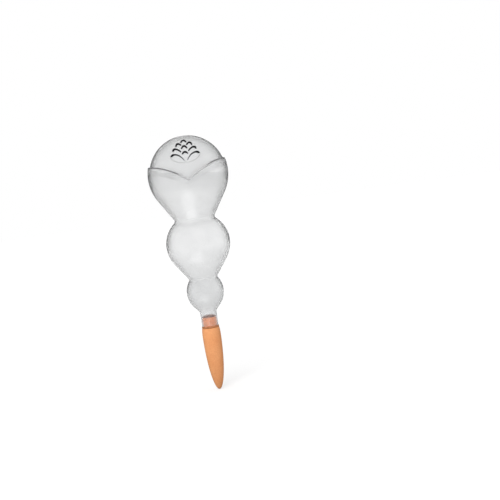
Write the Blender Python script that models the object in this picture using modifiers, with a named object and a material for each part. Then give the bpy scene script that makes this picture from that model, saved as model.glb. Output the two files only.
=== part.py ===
"""Watering globe: a clear three-lobed reservoir on a hollow terracotta spike, under a lift-off domed lid.

Metres, +Z up. The origin is the centre of the spike's shoulder, where the spike meets the soil's surface.
The front, with the fan of louvres in the lid, faces -Y. Everything is turned about Z, apart from the
scalloped seam between lid and reservoir, which dips to a cusp at the front and at the back, and the fan.
"""

import math

import bmesh
import bpy
from mathutils import Vector

# Clearances
SEAT_GAP = 0.0003
LID_CLEARANCE = 0.0010

# Spike
NECK_RADIUS = 0.0069
NECK_HEIGHT = 0.0115
NECK_ROUNDING = 0.0008
SHOULDER_RADIUS = 0.0087
SHOULDER_ROUNDING = 0.0005
BELLY_RADIUS = 0.0093
BELLY_DEPTH = 0.0080
SPIKE_DEPTH = 0.0635
BORE_RADIUS = 0.0047
SPIKE_WALL = 0.0028
BORE_END_RADIUS = 0.0010

# Seal ring
RING_THICKNESS = 0.0013
RING_ROUNDING = 0.0004

# Reservoir
WALL = 0.0016
COLLAR_WALL = 0.0010
TOP_CENTRE = 0.1555
TOP_RADIUS = 0.0400
TOP_DROP = 0.0415
TOP_CONE = math.radians(31.8)
MIDDLE_CENTRE = 0.0855
MIDDLE_RADIUS = 0.0319
MIDDLE_RISE = 0.0305
MIDDLE_DROP = 0.0319
MIDDLE_CONE = math.radians(35.7)
LOWER_CENTRE = 0.0365
LOWER_RADIUS = 0.0186
LOWER_RISE = 0.0205
LOWER_DROP = 0.0202
LOWER_CONE = math.radians(41.0)
UPPER_WAIST_BLEND = 0.0040
LOWER_WAIST_BLEND = 0.0025
COLLAR_BLEND = 0.0015

# Seam between reservoir and lid, in latitudes on the top lobe
SEAM_PEAK = math.radians(16.8)
SEAM_DIP = math.radians(25.6)
RESERVOIR_STILL_BELOW = math.radians(-32.0)
LID_STILL_ABOVE = math.radians(66.0)

# Rim: a thin outer lip, and inside it the rib on which the lid's edge sits
LIP_WALL = 0.0009
LEDGE_DEPTH = 0.0024
RIB_OVERLAP = 0.0012
RIB_HEIGHT = 0.0012
RIB_SLOPE = 0.0015

# Lid
LID_WALL = 0.0015

# Fan of louvres
FAN_ROOT = math.radians(17.5)
LOUVRE_WIDTH = 0.0017
LOUVRE_TAPER = 0.45
SCOOP_DEPTH = 0.0007
SCOOP_LENGTH = 0.75
SCOOP_RUNOUT = 1.15
CUTTER_REACH = 0.0020

# Facets
ROUND_STEPS = 52
SPIKE_STEPS = 40
LID_ROW = math.radians(7.0)
SLOT_STEPS = 10
SCOOP_STEPS = 5
SCOOP_SIDES = 4
EDGE_STEPS = 3
RING_EDGE_STEPS = 1
PROFILE_TOLERANCE = 0.00016
SAMPLE_STEP = 0.0005
NUDGE = 0.01
MERGE_DISTANCE = 0.00001
SHARP_ANGLE = math.radians(40.0)

# Sizes that follow from the ones above
SOCKET_RADIUS = NECK_RADIUS + SEAT_GAP
COLLAR_RADIUS = SOCKET_RADIUS + COLLAR_WALL
COLLAR_END = RING_THICKNESS + 2 * SEAT_GAP
LIP_INNER_RADIUS = TOP_RADIUS - LIP_WALL
LID_RADIUS = LIP_INNER_RADIUS - LID_CLEARANCE
LID_INNER_RADIUS = LID_RADIUS - LID_WALL
RIB_INNER_RADIUS = LID_RADIUS - RIB_OVERLAP
LEDGE = SEAM_PEAK - LEDGE_DEPTH / TOP_RADIUS
RIB_BOTTOM = LEDGE - RIB_HEIGHT / TOP_RADIUS
RIB_END = RIB_BOTTOM - RIB_SLOPE / TOP_RADIUS
LID_EDGE = LEDGE + SEAT_GAP / TOP_RADIUS


class Petal:
    """One petal of the fan: where its tip lies from the fan's root, its size, and how far its slot runs."""

    def __init__(self, bearing, tip, half_width, crown, length, outer_slot, inner_slot):
        self.bearing = math.radians(bearing)
        self.tip = tip
        self.half_width = half_width
        self.crown = crown
        self.length = length
        self.outer_slot = outer_slot
        self.inner_slot = inner_slot

    def half_width_at(self, back):
        """Half the petal's width at a distance back from its tip: a round crown, then a long taper."""
        if back < self.crown:
            return self.half_width * math.sqrt(1 - (1 - back / self.crown) ** 2)
        taper = (back - self.crown) / (self.length - self.crown)
        return self.half_width * math.cos(math.pi / 2 * min(taper, 1.0))

    def place(self, back, across):
        """The flat place (across the fan, up the fan) of a point of the petal. Positive across is inwards."""
        turn = 1 if self.bearing <= 0 else -1
        along = self.tip - back
        return (
            along * math.sin(self.bearing) + turn * across * math.cos(self.bearing),
            along * math.cos(self.bearing) - turn * across * math.sin(self.bearing),
        )

    def outline(self, share):
        """The outline's place at a share of the slot: -1 is its outer end, 0 the tip and 1 its inner end."""
        back = (self.inner_slot if share > 0 else self.outer_slot) * share**2
        side = 1 if share > 0 else -1
        return self.place(back, side * self.half_width_at(back))


# Middle column, then the pairs that lean outwards. Each row: bearing in degrees, tip, half width, crown,
# length, and how far the slot runs back from the tip on its outer and on its inner side
MIDDLE_PETALS = (
    (0, 0.0306, 0.0042, 0.0095, 0.0140, 0.0052, 0.0052),
    (0, 0.0212, 0.0037, 0.0060, 0.0120, 0.0041, 0.0041),
    (0, 0.0132, 0.0036, 0.0050, 0.0100, 0.0029, 0.0029),
)
PETAL_PAIRS = (
    (15.0, 0.0273, 0.0042, 0.0105, 0.0150, 0.0046, 0.0052),
    (31.5, 0.0224, 0.0044, 0.0095, 0.0160, 0.0020, 0.0087),
    (52.5, 0.0189, 0.0041, 0.0065, 0.0190, 0.0005, 0.0155),
)


def petals():
    """All the petals, each pair as its left and its right one."""
    middle = [Petal(*row) for row in MIDDLE_PETALS]
    pairs = [Petal(side * bearing, *sizes) for bearing, *sizes in PETAL_PAIRS for side in (-1, 1)]
    return middle + pairs


class Lobe:
    """One lobe of the reservoir: an oval that runs on below as a cone, towards the next waist."""

    def __init__(self, centre, radius, rise, drop, cone):
        self.centre = centre
        self.radius = radius
        self.rise = rise
        self.drop = drop
        self.slope = math.tan(cone)
        self.turn = math.atan(drop / radius * self.slope)

    def radius_at(self, z):
        up = z - self.centre
        if up >= 0:
            return self.radius * math.sqrt(max(1 - (up / self.rise) ** 2, 0.0))
        cone_start = -self.drop * math.sin(self.turn)
        if up > cone_start:
            return self.radius * math.sqrt(1 - (up / self.drop) ** 2)
        return max(self.radius * math.cos(self.turn) - (cone_start - up) * self.slope, 0.0)


TOP_LOBE = Lobe(TOP_CENTRE, TOP_RADIUS, TOP_RADIUS, TOP_DROP, TOP_CONE)
MIDDLE_LOBE = Lobe(MIDDLE_CENTRE, MIDDLE_RADIUS, MIDDLE_RISE, MIDDLE_DROP, MIDDLE_CONE)
LOWER_LOBE = Lobe(LOWER_CENTRE, LOWER_RADIUS, LOWER_RISE, LOWER_DROP, LOWER_CONE)


# Profiles

def smooth_max(a, b, blend):
    """The larger of two radii, with the corner where they cross rounded."""
    near = max(blend - abs(a - b), 0.0) / blend
    return max(a, b) + near * near * blend / 4


def reservoir_radius(z):
    """The reservoir's outer radius at a height: three lobes and the collar, blended at the waists."""
    radius = smooth_max(TOP_LOBE.radius_at(z), MIDDLE_LOBE.radius_at(z), UPPER_WAIST_BLEND)
    radius = smooth_max(radius, LOWER_LOBE.radius_at(z), LOWER_WAIST_BLEND)
    return smooth_max(radius, COLLAR_RADIUS, COLLAR_BLEND)


def on_top_lobe(radius, latitude):
    """A profile point in the top lobe, by its distance from the lobe's centre and its latitude."""
    return (radius * math.cos(latitude), TOP_CENTRE + radius * math.sin(latitude))


def arc(centre_x, centre_z, radius, start, end, steps):
    """Points along an arc, with its angles in degrees from +X towards +Z."""
    points = []
    for step in range(steps + 1):
        angle = math.radians(start + (end - start) * step / steps)
        points.append((centre_x + radius * math.cos(angle), centre_z + radius * math.sin(angle)))
    return points


def thinned(points, tolerance):
    """The fewest of the points that keep the line within the tolerance of them all."""
    if len(points) < 3:
        return points
    (x0, z0), (x1, z1) = points[0], points[-1]
    length = math.hypot(x1 - x0, z1 - z0)
    offsets = [abs((x1 - x0) * (z0 - z) - (x0 - x) * (z1 - z0)) / length for x, z in points]
    furthest = max(range(len(points)), key=offsets.__getitem__)
    if offsets[furthest] <= tolerance:
        return [points[0], points[-1]]
    return thinned(points[: furthest + 1], tolerance)[:-1] + thinned(points[furthest:], tolerance)


def moved_inwards(points, distance):
    """The line moved square to itself by a distance, to the right of the way it runs."""
    moved = []
    for index, (x, z) in enumerate(points):
        before = points[max(index - 1, 0)]
        after = points[min(index + 1, len(points) - 1)]
        along_x, along_z = after[0] - before[0], after[1] - before[1]
        length = math.hypot(along_x, along_z)
        moved.append((x + distance * along_z / length, z - distance * along_x / length))
    return moved


def reservoir_profile():
    """The reservoir's section as a closed loop: down its outside, in across the collar's end and back up."""
    rim = on_top_lobe(TOP_RADIUS, SEAM_PEAK)
    count = round((rim[1] - COLLAR_END) / SAMPLE_STEP)
    heights = [rim[1] + (COLLAR_END - rim[1]) * step / count for step in range(count + 1)]
    outside = [(reservoir_radius(z), z) for z in heights]

    rib_end = on_top_lobe(TOP_RADIUS - WALL, RIB_END)
    inside = [(max(x, SOCKET_RADIUS), z) for x, z in moved_inwards(outside, WALL)]
    inside = [(x, z) for x, z in inside if COLLAR_END < z < rib_end[1] - SAMPLE_STEP]
    inside.append((SOCKET_RADIUS, COLLAR_END))
    inside.reverse()

    rim_section = [
        rib_end,
        on_top_lobe(RIB_INNER_RADIUS, RIB_BOTTOM),
        on_top_lobe(RIB_INNER_RADIUS, LEDGE),
        on_top_lobe(LIP_INNER_RADIUS, LEDGE),
        on_top_lobe(LIP_INNER_RADIUS, SEAM_PEAK),
    ]
    return thinned(outside, PROFILE_TOLERANCE) + thinned(inside, PROFILE_TOLERANCE) + rim_section


def lid_profile():
    """The lid's section, from its crown down the outside and back up the inside to the axis."""
    rows = math.ceil((math.pi / 2 - LID_EDGE) / LID_ROW)
    latitudes = [math.pi / 2 + (LID_EDGE - math.pi / 2) * row / rows for row in range(rows + 1)]
    outside = [on_top_lobe(LID_RADIUS, latitude) for latitude in latitudes]
    inside = [on_top_lobe(LID_INNER_RADIUS, latitude) for latitude in reversed(latitudes)]
    return [(0.0, outside[0][1]), *outside[1:], *inside[:-1], (0.0, inside[-1][1])]


def spike_radius(depth):
    """The spike's outer radius at a depth below its shoulder: a slight belly, then half an oval."""
    if depth < BELLY_DEPTH:
        rest = 1 - depth / BELLY_DEPTH
        return BELLY_RADIUS - (BELLY_RADIUS - SHOULDER_RADIUS) * rest**2
    share = (depth - BELLY_DEPTH) / (SPIKE_DEPTH - BELLY_DEPTH)
    return BELLY_RADIUS * math.sqrt(max(1 - share**2, 0.0))


def spike_profile():
    """The spike's section, from the bore's end up the bore, over the neck and down the outside."""
    count = round(SPIKE_DEPTH / SAMPLE_STEP)
    turns = [math.pi / 2 * step / count for step in range(1, count + 1)]
    depths = [SPIKE_DEPTH * math.sin(turn) for turn in turns]

    bore = [(min(BORE_RADIUS, spike_radius(depth) - SPIKE_WALL), -depth) for depth in depths]
    bore = [point for point in bore if point[0] > BORE_END_RADIUS]
    bore = [(0.0, bore[-1][1]), *reversed(bore)]
    top = NECK_HEIGHT - NECK_ROUNDING
    neck = [
        *arc(BORE_RADIUS + NECK_ROUNDING, top, NECK_ROUNDING, 180, 90, EDGE_STEPS),
        *arc(NECK_RADIUS - NECK_ROUNDING, top, NECK_ROUNDING, 90, 0, EDGE_STEPS),
        (NECK_RADIUS, 0.0),
    ]
    edge_centre = SHOULDER_RADIUS - SHOULDER_ROUNDING
    edge = arc(edge_centre, -SHOULDER_ROUNDING, SHOULDER_ROUNDING, 90, 0, EDGE_STEPS)
    outside = [(spike_radius(depth), -depth) for depth in depths if depth > 2 * SHOULDER_ROUNDING]
    outside[-1] = (0.0, -SPIKE_DEPTH)
    return (
        thinned(bore, PROFILE_TOLERANCE)
        + neck
        + thinned(edge + outside, PROFILE_TOLERANCE)
    )


def ring_profile():
    """The seal ring's section, a rounded rectangle round the neck on the shoulder, as a closed loop."""
    low, high = SEAT_GAP, SEAT_GAP + RING_THICKNESS
    inner, outer = SOCKET_RADIUS, SHOULDER_RADIUS
    corners = (
        (outer - RING_ROUNDING, high - RING_ROUNDING, 90, 0),
        (outer - RING_ROUNDING, low + RING_ROUNDING, 0, -90),
        (inner + RING_ROUNDING, low + RING_ROUNDING, -90, -180),
        (inner + RING_ROUNDING, high - RING_ROUNDING, -180, -270),
    )
    return [
        point
        for x, z, start, end in corners
        for point in arc(x, z, RING_ROUNDING, start, end, RING_EDGE_STEPS)
    ]


# Objects

def clear_scene():
    for obj in list(bpy.data.objects):
        bpy.data.objects.remove(obj, do_unlink=True)


def new_collection(name):
    collection = bpy.data.collections.new(name)
    bpy.context.scene.collection.children.link(collection)
    return collection


def finish(name, colour, roughness, transmission=0.0):
    material = bpy.data.materials.new(name)
    material.use_nodes = True
    shader = material.node_tree.nodes["Principled BSDF"]
    shader.inputs["Base Color"].default_value = (*colour, 1.0)
    shader.inputs["Roughness"].default_value = roughness
    shader.inputs["Metallic"].default_value = 0.0
    shader.inputs["Transmission Weight"].default_value = transmission
    return material


def turned(name, profile, closed, steps, material, collection):
    """An object turned from a profile by a Screw modifier, and made a plain mesh."""
    mesh = bpy.data.meshes.new(name)
    last = len(profile) if closed else len(profile) - 1
    edges = [(index, (index + 1) % len(profile)) for index in range(last)]
    mesh.from_pydata([(x, 0.0, z) for x, z in profile], edges, [])
    obj = bpy.data.objects.new(name, mesh)
    collection.objects.link(obj)
    screw = obj.modifiers.new("Turn", "SCREW")
    screw.axis = "Z"
    screw.angle = math.tau
    screw.steps = screw.render_steps = steps
    screw.use_merge_vertices = True
    screw.merge_threshold = MERGE_DISTANCE
    evaluated = obj.evaluated_get(bpy.context.evaluated_depsgraph_get())
    obj.data = bpy.data.meshes.new_from_object(evaluated)
    obj.data.name = name
    obj.modifiers.clear()
    obj.data.materials.append(material)
    obj.data.shade_smooth()
    obj.data.set_sharp_from_angle(angle=SHARP_ANGLE)
    return obj


def seam_drop(azimuth):
    """How far below its peaks the seam lies at an angle round from the front's cusp."""
    return SEAM_DIP * (1 - abs(math.sin(azimuth))) ** 2


def draw_to_seam(obj, still, full):
    """Slides an object's points along the top lobe, so that its edge follows the seam.

    A point at the latitude `still` stays, one at `full` or beyond takes all of the seam's drop.
    """
    for vertex in obj.data.vertices:
        x, y, z = vertex.co
        around = math.hypot(x, y)
        latitude = math.atan2(z - TOP_CENTRE, around)
        share = min(max((latitude - still) / (full - still), 0.0), 1.0)
        if share == 0.0:
            continue
        radius = math.hypot(around, z - TOP_CENTRE)
        lowered = latitude - share * seam_drop(math.atan2(x, -y))
        flat = radius * math.cos(lowered) / around
        vertex.co = (x * flat, y * flat, TOP_CENTRE + radius * math.sin(lowered))


def on_dome(place, radius):
    """The point over a flat place of the fan, at a distance from the top lobe's centre."""
    across, up = place
    angle = math.hypot(across, up) / LID_RADIUS
    bearing = math.atan2(across, up)
    root = Vector((0.0, -math.cos(FAN_ROOT), math.sin(FAN_ROOT)))
    upwards = Vector((0.0, math.sin(FAN_ROOT), math.cos(FAN_ROOT)))
    sideways = Vector((1.0, 0.0, 0.0))
    heading = upwards * math.cos(bearing) + sideways * math.sin(bearing)
    direction = root * math.cos(angle) + heading * math.sin(angle)
    return Vector((0.0, 0.0, TOP_CENTRE)) + direction * radius


def lofted_cutter(name, sections, collection):
    """A closed cutter through sections that each list as many points, in order round the section."""
    mesh = bpy.data.meshes.new(name)
    shape = bmesh.new()
    rings = [[shape.verts.new(point) for point in section] for section in sections]
    for ring, following in zip(rings, rings[1:]):
        for index in range(len(ring)):
            after = (index + 1) % len(ring)
            shape.faces.new((ring[index], ring[after], following[after], following[index]))
    shape.faces.new(rings[0])
    shape.faces.new(rings[-1])
    bmesh.ops.triangulate(shape, faces=shape.faces[:])
    bmesh.ops.recalc_face_normals(shape, faces=shape.faces[:])
    shape.to_mesh(mesh)
    shape.free()
    cutter = bpy.data.objects.new(name, mesh)
    cutter.hide_render = True
    cutter.display_type = "WIRE"
    collection.objects.link(cutter)
    return cutter


def slot_cutter(name, petal, collection):
    """The crescent slot under a petal's tip, cut square through the lid and thinner towards its ends."""
    low, high = LID_INNER_RADIUS - CUTTER_REACH, LID_RADIUS + CUTTER_REACH
    sections = []
    for step in range(SLOT_STEPS + 1):
        share = -1 + 2 * step / SLOT_STEPS
        place = petal.outline(share)
        before = petal.outline(max(share - NUDGE, -1))
        after = petal.outline(min(share + NUDGE, 1))
        along = (after[0] - before[0], after[1] - before[1])
        length = math.hypot(*along)
        turn = 1 if petal.bearing <= 0 else -1
        width = LOUVRE_WIDTH * (1 - LOUVRE_TAPER * share**2)
        inner = (
            place[0] + turn * width * along[1] / length,
            place[1] - turn * width * along[0] / length,
        )
        sections.append([
            on_dome(place, low), on_dome(place, high), on_dome(inner, high), on_dome(inner, low),
        ])
    return lofted_cutter(name, sections, collection)


def scoop_cutter(name, petal, collection):
    """The hollow of a petal, deepest at its tip and running out at the dome's surface near its root."""
    sections = []
    for step in range(1, SCOOP_STEPS + 1):
        share = (step / SCOOP_STEPS) ** 2
        back = SCOOP_LENGTH * petal.length * share
        half = petal.half_width_at(back)
        floor = LID_RADIUS - SCOOP_DEPTH * (1 - SCOOP_RUNOUT * share)
        across = [half * (1 - 2 * side / SCOOP_SIDES) for side in range(SCOOP_SIDES + 1)]
        over = [on_dome(petal.place(back, place), LID_RADIUS + CUTTER_REACH) for place in across]
        under = [on_dome(petal.place(back, place), floor) for place in reversed(across)]
        sections.append(over + under)
    return lofted_cutter(name, sections, collection)


def build():
    clear_scene()
    parts = new_collection("watering_globe")
    cutters = new_collection("cutters")

    clay = finish("terracotta", (0.80, 0.40, 0.19), 0.85)
    seal = finish("seal_rubber", (0.38, 0.15, 0.07), 0.60)
    clear = finish("clear_plastic", (0.86, 0.87, 0.87), 0.08, 0.9)
    clear_lid = finish("clear_lid_plastic", (0.88, 0.89, 0.89), 0.06, 0.9)

    spike = turned("clay_spike", spike_profile(), False, SPIKE_STEPS, clay, parts)
    ring = turned("seal_ring", ring_profile(), True, SPIKE_STEPS, seal, parts)
    reservoir = turned("reservoir", reservoir_profile(), True, ROUND_STEPS, clear, parts)
    draw_to_seam(reservoir, RESERVOIR_STILL_BELOW, RIB_END)
    lid = turned("lid", lid_profile(), False, ROUND_STEPS, clear_lid, parts)
    draw_to_seam(lid, LID_STILL_ABOVE, LID_EDGE)
    ring.parent = spike
    reservoir.parent = spike
    lid.parent = reservoir

    for number, petal in enumerate(petals(), 1):
        scoop_cutter(f"petal_scoop_{number}", petal, cutters)
        slot_cutter(f"petal_slot_{number}", petal, cutters)
    louvres = lid.modifiers.new("Louvres", "BOOLEAN")
    louvres.operation = "DIFFERENCE"
    louvres.solver = "EXACT"
    louvres.operand_type = "COLLECTION"
    louvres.collection = cutters


build()
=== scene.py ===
"""Watering globe: the finished look of its clear reservoir, domed lid, seal ring and terracotta spike.

Metres, +Z up, with the origin at the centre of the spike's shoulder. The lid's fan of louvres faces -Y.
"""

from __future__ import annotations

import logging
import math
from collections.abc import Callable, Iterator, Sequence
from dataclasses import dataclass, field, replace
from enum import Enum
from functools import partial

import bmesh
import bpy
from mathutils import Matrix, Vector

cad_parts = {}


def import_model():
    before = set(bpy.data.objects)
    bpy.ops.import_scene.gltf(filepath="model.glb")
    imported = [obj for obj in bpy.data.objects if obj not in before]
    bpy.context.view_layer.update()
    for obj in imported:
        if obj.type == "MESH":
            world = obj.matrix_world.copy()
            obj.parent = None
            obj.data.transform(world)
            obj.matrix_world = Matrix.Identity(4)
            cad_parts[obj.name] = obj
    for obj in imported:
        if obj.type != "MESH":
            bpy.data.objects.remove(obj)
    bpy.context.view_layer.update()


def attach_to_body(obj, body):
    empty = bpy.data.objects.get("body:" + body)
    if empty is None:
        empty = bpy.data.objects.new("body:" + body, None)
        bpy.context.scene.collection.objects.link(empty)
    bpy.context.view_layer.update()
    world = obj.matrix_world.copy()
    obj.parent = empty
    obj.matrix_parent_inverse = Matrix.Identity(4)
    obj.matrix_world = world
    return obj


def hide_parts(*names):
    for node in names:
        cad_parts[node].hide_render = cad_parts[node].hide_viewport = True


LOG = logging.getLogger("watering_globe")

Colour = tuple[float, float, float]
Place = tuple[float, float, float]
ProfilePoint = tuple[float, float]
FlatPlace = tuple[float, float]
Heights = tuple[tuple[float, float], ...]
StripPlace = Callable[[float, float], FlatPlace]


# Modelling steps

SEED_SIZE = 0.001
MERGE_DISTANCE = 1e-6


def deselect() -> None:
    """Leaves nothing selected, so that the next operator acts on its own piece alone."""
    bpy.ops.object.select_all(action="DESELECT")


def pick(piece: bpy.types.Object) -> None:
    """Makes one piece the active and only selected object.

    Args:
        piece: The object to work on.
    """
    deselect()
    piece.select_set(True)
    bpy.context.view_layer.objects.active = piece


def joined(pieces: Sequence[bpy.types.Object]) -> bpy.types.Object:
    """Joins pieces into the first of them.

    Args:
        pieces: The objects to join.

    Returns:
        The first object, which holds them all.
    """
    pick(pieces[0])
    for piece in pieces[1:]:
        piece.select_set(True)
    bpy.ops.object.join()
    return bpy.context.object


def named_new(name: str) -> bpy.types.Object:
    """Names the object that the last primitive added.

    Args:
        name: The piece's name.

    Returns:
        The new object.
    """
    piece = bpy.context.object
    piece.name = piece.data.name = name
    return piece


def select_faces(piece: bpy.types.Object, wanted: Callable[[Vector, Vector], bool]) -> None:
    """Selects a piece's faces in edit mode by their place and the way they face.

    Args:
        piece: The object in edit mode.
        wanted: Told a face's centre and normal, says whether to select it.
    """
    bpy.ops.mesh.select_mode(type="FACE")
    shape = bmesh.from_edit_mesh(piece.data)
    for face in shape.faces:
        face.select_set(wanted(face.calc_center_median(), face.normal))
    shape.select_flush_mode()
    bmesh.update_edit_mesh(piece.data)


def leave_closed() -> None:
    """Turns all faces of the body in edit mode outwards and goes back to object mode."""
    bpy.ops.mesh.select_all(action="SELECT")
    bpy.ops.mesh.normals_make_consistent(inside=False)
    bpy.ops.object.mode_set(mode="OBJECT")


def turned_piece(name: str, points: Sequence[ProfilePoint], segments: int) -> bpy.types.Object:
    """Draws a profile from point to point and turns it once round the Z axis into a closed body.

    Args:
        name: The piece's name.
        points: Radius and height of each point, ending where they began or with both ends on the axis.
        segments: How many steps the full turn has.

    Returns:
        The turned object, in object mode.
    """
    deselect()
    bpy.ops.mesh.primitive_plane_add(size=SEED_SIZE, location=(points[0][0], 0.0, points[0][1]))
    piece = named_new(name)
    bpy.ops.object.transform_apply(location=True, rotation=True, scale=True)
    bpy.ops.object.mode_set(mode="EDIT")
    bpy.ops.mesh.select_mode(type="VERT")
    bpy.ops.mesh.select_all(action="SELECT")
    bpy.ops.mesh.merge(type="CENTER")
    for before, after in zip(points, points[1:]):
        step = (after[0] - before[0], 0.0, after[1] - before[1])
        bpy.ops.mesh.extrude_vertices_move(TRANSFORM_OT_translate={"value": step})
    bpy.ops.mesh.select_all(action="SELECT")
    bpy.ops.mesh.spin(steps=segments, angle=math.tau, center=(0, 0, 0), axis=(0, 0, 1))
    bpy.ops.mesh.select_all(action="SELECT")
    bpy.ops.mesh.remove_doubles(threshold=MERGE_DISTANCE)
    leave_closed()
    return piece


def round_edges(piece: bpy.types.Object, width: float, segments: int, angle: float) -> None:
    """Rounds a piece's sharp edges with an applied Bevel.

    Args:
        piece: The object to round.
        width: The rounding's width in metres.
        segments: How many strips the rounding has.
        angle: The smallest angle between faces, in degrees, that counts as sharp.
    """
    pick(piece)
    bevel = piece.modifiers.new("Rounding", "BEVEL")
    bevel.width = width
    bevel.segments = segments
    bevel.limit_method = "ANGLE"
    bevel.angle_limit = math.radians(angle)
    bpy.ops.object.modifier_apply(modifier=bevel.name)


def smooth(piece: bpy.types.Object, angle: float) -> None:
    """Shades a piece smooth apart from the edges whose faces meet at more than an angle in degrees."""
    pick(piece)
    bpy.ops.object.shade_smooth_by_angle(angle=math.radians(angle))


def thinned(points: Sequence[ProfilePoint], tolerance: float) -> list[ProfilePoint]:
    """Leaves out the points that a straight line replaces well enough.

    Args:
        points: A line's points in order.
        tolerance: How far the line may move, in metres.

    Returns:
        The points that are kept, with both ends.
    """
    if len(points) < 3:
        return list(points)
    (x0, z0), (x1, z1) = points[0], points[-1]
    length = math.hypot(x1 - x0, z1 - z0)
    offsets = [abs((x1 - x0) * (z0 - z) - (x0 - x) * (z1 - z0)) / length for x, z in points]
    furthest = max(range(len(points)), key=offsets.__getitem__)
    if offsets[furthest] <= tolerance:
        return [points[0], points[-1]]
    return thinned(points[: furthest + 1], tolerance)[:-1] + thinned(points[furthest:], tolerance)


def arc(centre: ProfilePoint, radius: float, start: float, end: float, steps: int) -> list[ProfilePoint]:
    """Places a profile's points along an arc, from one angle in degrees to another, both ends included."""
    angles = [math.radians(start + (end - start) * step / steps) for step in range(steps + 1)]
    return [(centre[0] + radius * math.cos(a), centre[1] + radius * math.sin(a)) for a in angles]


# Shader building

COLUMN_WIDTH = 180
ROW_HEIGHT = 60
ROWS = 5


class Sketch:
    """A node tree that is filled in from left to right."""

    def __init__(self, tree: bpy.types.NodeTree) -> None:
        """Starts on a material's, the world's or a group's node tree."""
        self.tree = tree
        self.column = 0

    def add(self, kind: str, **sockets: object) -> bpy.types.Node:
        """Adds a node and fills in its inputs.

        Args:
            kind: The node's type without the word ShaderNode.
            **sockets: Inputs by name, with _ for a space, or iN for input N. An output socket is linked
                and anything else is set. A property of the node is named with a leading p_.

        Returns:
            The new node.
        """
        node = self.tree.nodes.new("ShaderNode" + kind)
        self.column += 1
        node.location = (COLUMN_WIDTH * self.column, -ROW_HEIGHT * (self.column % ROWS))
        for name in [name for name in sockets if name.startswith("p_")]:
            setattr(node, name[2:], sockets.pop(name))
        for name, value in sockets.items():
            index = int(name[1:]) if name[0] == "i" and name[1:].isdigit() else name.replace("_", " ")
            self.feed(node.inputs[index], value)
        return node

    def feed(self, socket: bpy.types.NodeSocket, value: object) -> None:
        """Links an output to an input, or sets the input's value.

        Args:
            socket: The input.
            value: An output socket, a number or a tuple.
        """
        if isinstance(value, bpy.types.NodeSocket):
            self.tree.links.new(value, socket)
        elif isinstance(value, tuple) and len(value) == 3 and len(socket.default_value) == 4:
            socket.default_value = (*value, 1.0)
        else:
            socket.default_value = value

    def maths(self, operation: str, *values: object, clamp: bool = False) -> bpy.types.NodeSocket:
        """Adds a Math node on numbers or output sockets, kept between 0 and 1 if clamped."""
        inputs = {f"i{index}": value for index, value in enumerate(values)}
        return self.add("Math", p_operation=operation, p_use_clamp=clamp, **inputs).outputs[0]

    def blend(self, share: object, first: object, second: object) -> bpy.types.NodeSocket:
        """Mixes two colours, the first at a share of 0 and the second at 1."""
        return self.add("Mix", p_data_type="RGBA", i0=share, i6=first, i7=second).outputs[2]

    def ramp(self, value: object, low: float, high: float, to_low: float, to_high: float) -> bpy.types.NodeSocket:
        """Maps one range of numbers smoothly to another, and keeps its ends beyond it."""
        settings = {"i0": value, "i1": low, "i2": high, "i3": to_low, "i4": to_high}
        return self.add("MapRange", p_interpolation_type="SMOOTHSTEP", **settings).outputs[0]


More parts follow.
